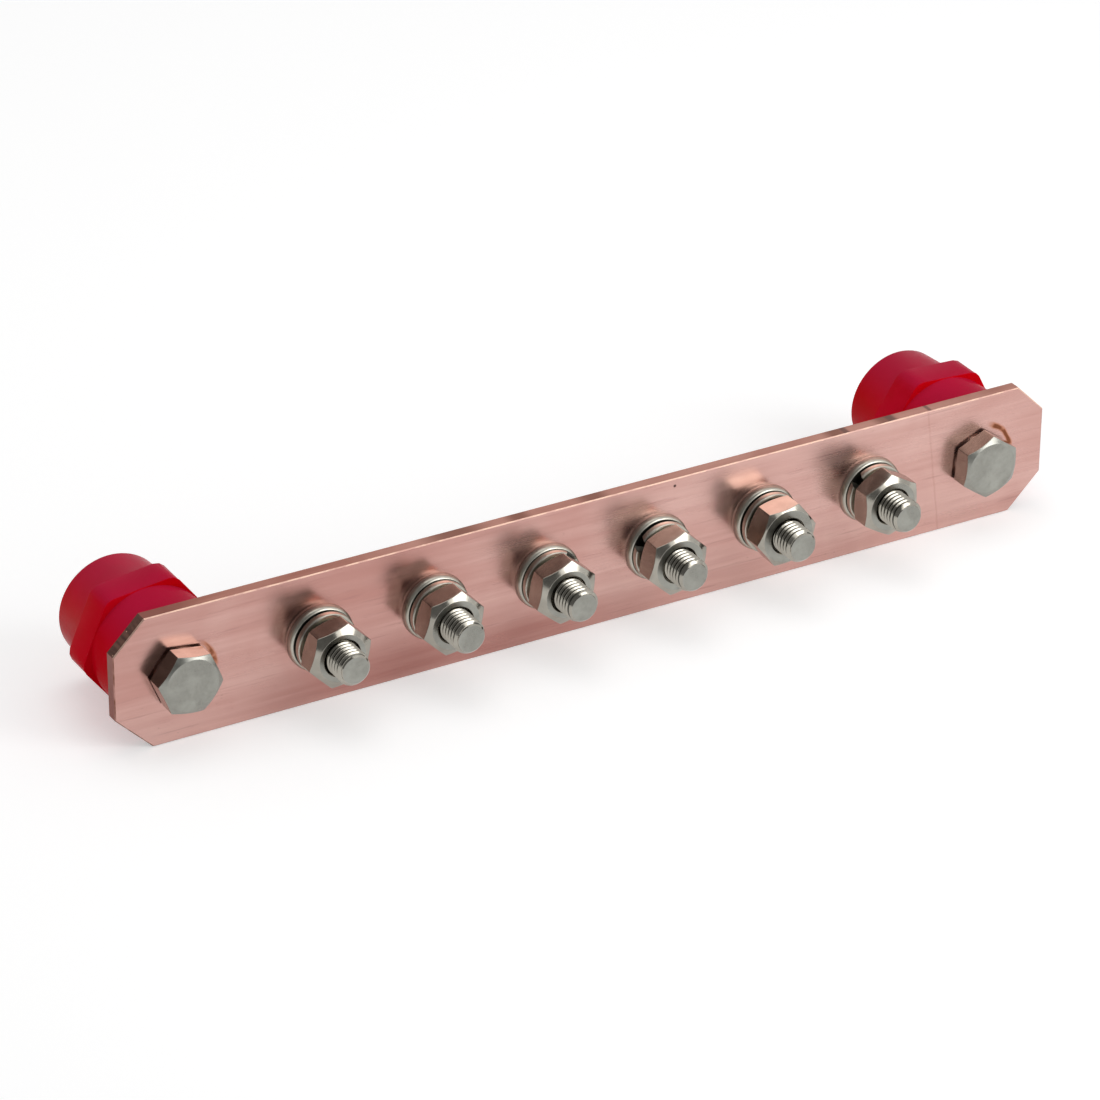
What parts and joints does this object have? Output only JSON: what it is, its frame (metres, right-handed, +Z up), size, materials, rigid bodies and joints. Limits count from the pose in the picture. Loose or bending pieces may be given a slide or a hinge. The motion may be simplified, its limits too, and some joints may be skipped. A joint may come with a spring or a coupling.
{
  "type": "grounding busbar",
  "caption": "Copper earthing bar with cut corners on red stand-off insulators, with a row of studs, each with a flat washer, a spring washer and a nut.",
  "frame": {"origin": "half way between the two fixing threads, on the wall faces of the insulators", "axes": "+X along the bar to the right as seen from the front, +Y from the bar to the wall, +Z up across the bar"},
  "size_m": [0.3001, 0.065, 0.04],
  "materials": {
    "copper": "bright rolled copper with a lengthwise grain, lightly stained",
    "stainless": "plain stainless steel, pressed and rolled, slightly worn",
    "insulator_red": "glossy red moulded polyester",
    "insert_brass": "turned brass"
  },
  "bodies": {
    "root": {"busbar": "copper", "insulator_left": "insulator_red", "insulator_right": "insulator_red", "insert_left_back": "insert_brass", "insert_left_front": "insert_brass", "insert_right_back": "insert_brass", "insert_right_front": "insert_brass", "end_bolt_left": "stainless", "end_bolt_right": "stainless", "stud_bolt_1": "stainless", "stud_bolt_2": "stainless", "stud_bolt_3": "stainless", "stud_bolt_4": "stainless", "stud_bolt_5": "stainless", "stud_bolt_6": "stainless", "flat_washer_1": "stainless", "flat_washer_2": "stainless", "flat_washer_3": "stainless", "flat_washer_4": "stainless", "flat_washer_5": "stainless", "flat_washer_6": "stainless", "spring_washer_1": "stainless", "spring_washer_2": "stainless", "spring_washer_3": "stainless", "spring_washer_4": "stainless", "spring_washer_5": "stainless", "spring_washer_6": "stainless", "nut_1": "stainless", "nut_2": "stainless", "nut_3": "stainless", "nut_4": "stainless", "nut_5": "stainless", "nut_6": "stainless"}
  },
  "joints": []
}
